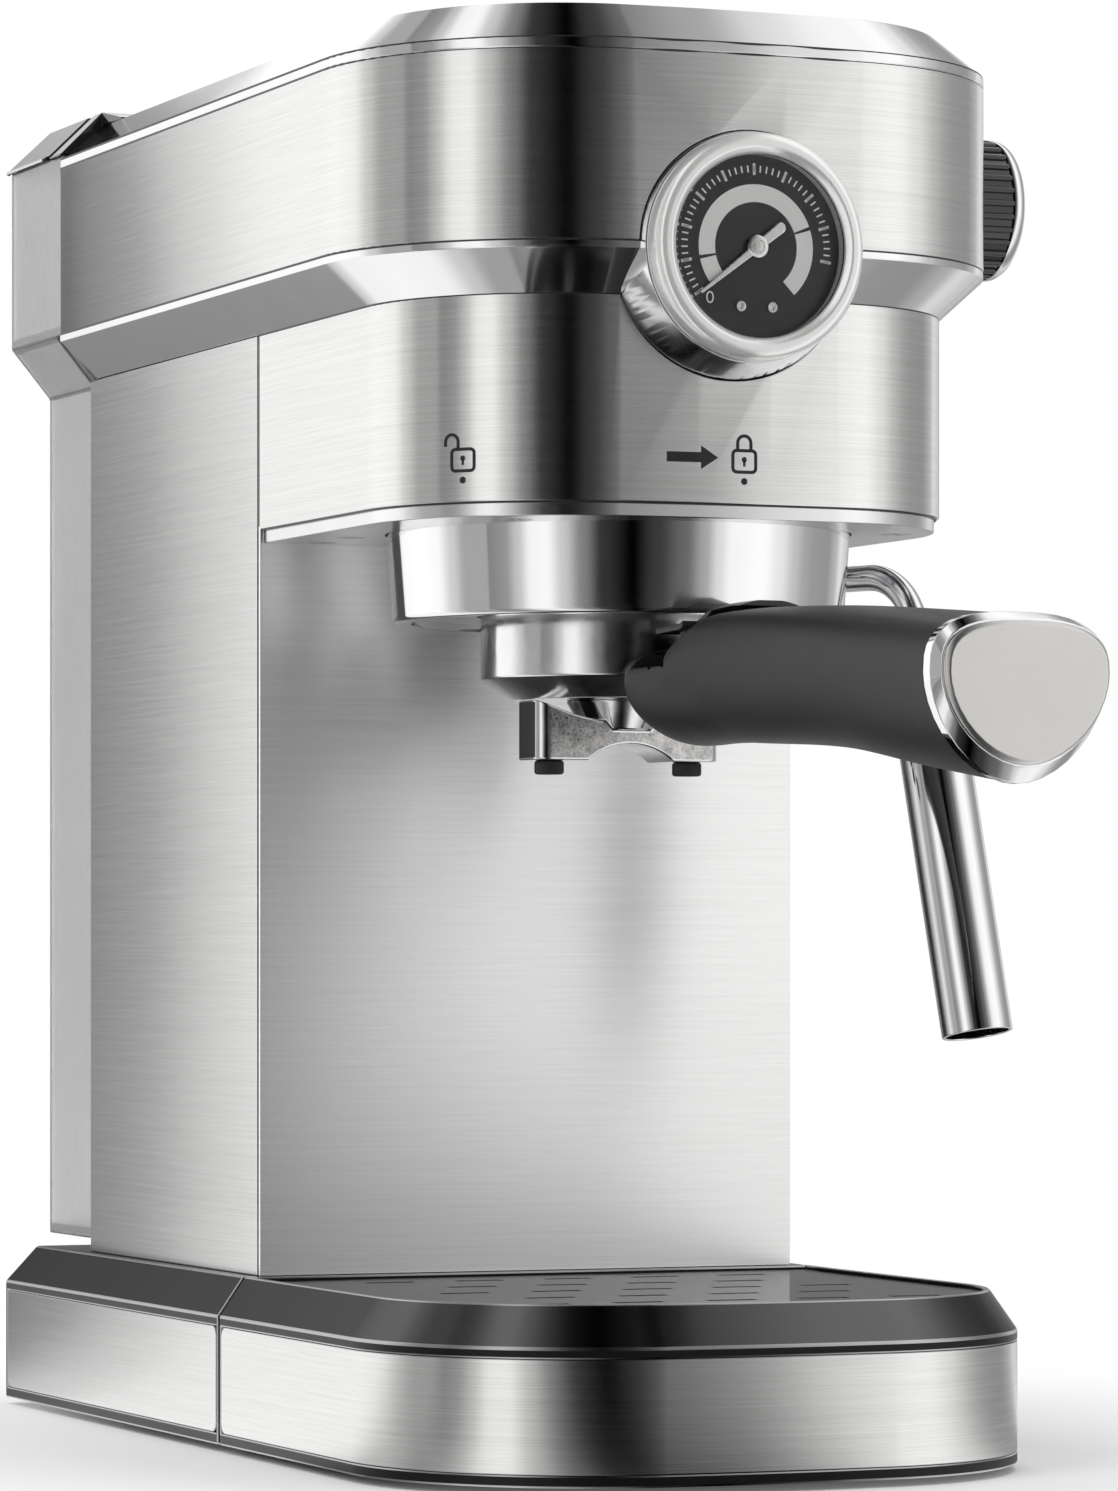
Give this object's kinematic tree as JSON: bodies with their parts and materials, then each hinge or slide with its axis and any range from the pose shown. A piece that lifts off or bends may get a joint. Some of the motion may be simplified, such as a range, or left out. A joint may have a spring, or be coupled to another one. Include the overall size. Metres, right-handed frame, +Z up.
{
  "type": "espresso machine",
  "caption": "Slim pump espresso machine with locking filter holder, steam wand, pressure gauge, drip tray and a lift-off rear water tank.",
  "frame": {"origin": "middle of the machine's width, on the surface it stands on, in the plane of the column's front face", "axes": "+Z up, -Y out of the machine's front (gauge, handle, drip tray), +X towards the side with the steam knob"},
  "size_m": [0.1647, 0.3759, 0.3089],
  "materials": {
    "brushed_steel": "horizontally brushed",
    "chrome": "polished, slightly dark",
    "satin_silver": "satin",
    "polished_steel": "fine satin",
    "die_cast_metal": "cast, tumbled bright",
    "black_plastic": "fine grain",
    "gloss_black": "glossy",
    "dark_metal": "glossy dark steel",
    "silver_button": "satin metallised",
    "screw_steel": "plated",
    "rubber": "matte",
    "red_silicone": "matte",
    "ceramic": "matte",
    "board_green": "solder mask",
    "brass": "turned",
    "copper": "drawn copper tube",
    "pump_metal": "plain",
    "dial_black": "printed",
    "needle_silver": "satin",
    "clear_lens": "clear",
    "tank_grey": "frosted clear plastic",
    "smoke_grey": "smoked clear plastic",
    "white_plastic": "plain"
  },
  "bodies": {
    "machine": {"base_housing": "black_plastic", "base_side_panels": "brushed_steel", "bottom_plate": "black_plastic", "cross_screws": "screw_steel", "rubber_feet": "rubber", "cord_gland": "black_plastic", "column_shell": "brushed_steel", "column_front_panel": "brushed_steel", "column_frame": "black_plastic", "head_lower_shell": "brushed_steel", "head_underside_plate": "satin_silver", "head_band": "chrome", "head_upper_shell": "brushed_steel", "head_back_panel": "black_plastic", "head_top_trim": "chrome", "cup_plate": "brushed_steel", "control_panel": "gloss_black", "switch_board": "board_green", "group_collar": "chrome", "group_head": "die_cast_metal", "group_gasket": "red_silicone", "shower_screen": "brushed_steel", "shower_screw": "screw_steel", "boiler": "die_cast_metal", "thermostats": "ceramic", "steam_valve": "brass", "water_pump": "pump_metal", "copper_tubes": "copper", "tank_seat": "black_plastic", "swivel_nut": "chrome", "gauge_cowling": "chrome", "gauge_bezel": "satin_silver", "gauge_dial": "dial_black", "gauge_lens": "clear_lens"},
    "needle": {"gauge_needle": "needle_silver"},
    "power_key": {"power_button": "silver_button"},
    "coffee_key": {"coffee_button": "silver_button"},
    "steam_key": {"steam_button": "silver_button"},
    "filter_holder": {"portafilter_body": "die_cast_metal", "filter_basket": "brushed_steel", "spout_casting": "die_cast_metal", "spout_feet": "rubber", "portafilter_handle": "black_plastic", "handle_ring": "chrome", "handle_cap": "satin_silver", "handle_bolt": "screw_steel"},
    "clip": {"basket_clip": "black_plastic"},
    "knob": {"steam_knob": "black_plastic", "knob_cap": "chrome", "valve_spindle": "brass"},
    "wand": {"steam_pipe": "chrome", "wand_sleeve": "polished_steel"},
    "tray": {"drip_tray": "gloss_black", "tray_front_panel": "brushed_steel"},
    "grid": {"drip_grid": "dark_metal"},
    "tank": {"water_tank": "tank_grey", "tank_valve": "white_plastic", "lid_frame": "black_plastic"},
    "flap": {"tank_lid": "smoke_grey"}
  },
  "joints": [
    {"name": "holder_turn", "type": "hinge", "parent": "machine", "child": "filter_holder", "pos_m": [0, -0.0503, 0.18], "axis": [0, 0, 1], "range_deg": [-50, 0]},
    {"name": "clip_flip", "type": "hinge", "parent": "filter_holder", "child": "clip", "pos_m": [0.00414, -0.09762, 0.1736], "axis": [-0.9962, -0.0872, 0], "range_deg": [0, 15]},
    {"name": "knob_turn", "type": "hinge", "parent": "machine", "child": "knob", "pos_m": [0.08, -0.053, 0.2739], "axis": [1, 0, 0], "range_deg": [0, 270]},
    {"name": "wand_swing", "type": "hinge", "parent": "machine", "child": "wand", "pos_m": [0.054, -0.022, 0.2], "axis": [0, 0, 1], "range_deg": [0, 80]},
    {"name": "tray_slide", "type": "slide", "parent": "machine", "child": "tray", "axis": [0, -1, 0], "range_m": [0, 0.12]},
    {"name": "grid_lift", "type": "slide", "parent": "tray", "child": "grid", "axis": [0, 0, 1], "range_m": [0, 0.03]},
    {"name": "tank_lift", "type": "slide", "parent": "machine", "child": "tank", "axis": [0, 0, 1], "range_m": [0, 0.27]},
    {"name": "flap_open", "type": "hinge", "parent": "tank", "child": "flap", "pos_m": [0, 0.1255, 0.3055], "axis": [1, 0, 0], "range_deg": [0, 85]},
    {"name": "needle_sweep", "type": "hinge", "parent": "machine", "child": "needle", "pos_m": [0, -0.1228, 0.255], "axis": [0, 1, 0], "range_deg": [0, 266], "stiffness_Nm_per_rad": 0.0002, "springref_deg": -28.65},
    {"name": "power_press", "type": "slide", "parent": "machine", "child": "power_key", "axis": [0, 0, -1], "range_m": [0, 0.0015], "stiffness_N_per_m": 300, "springref_m": -0.001},
    {"name": "coffee_press", "type": "slide", "parent": "machine", "child": "coffee_key", "axis": [0, 0, -1], "range_m": [0, 0.0015], "stiffness_N_per_m": 300, "springref_m": -0.001},
    {"name": "steam_press", "type": "slide", "parent": "machine", "child": "steam_key", "axis": [0, 0, -1], "range_m": [0, 0.0015], "stiffness_N_per_m": 300, "springref_m": -0.001}
  ]
}
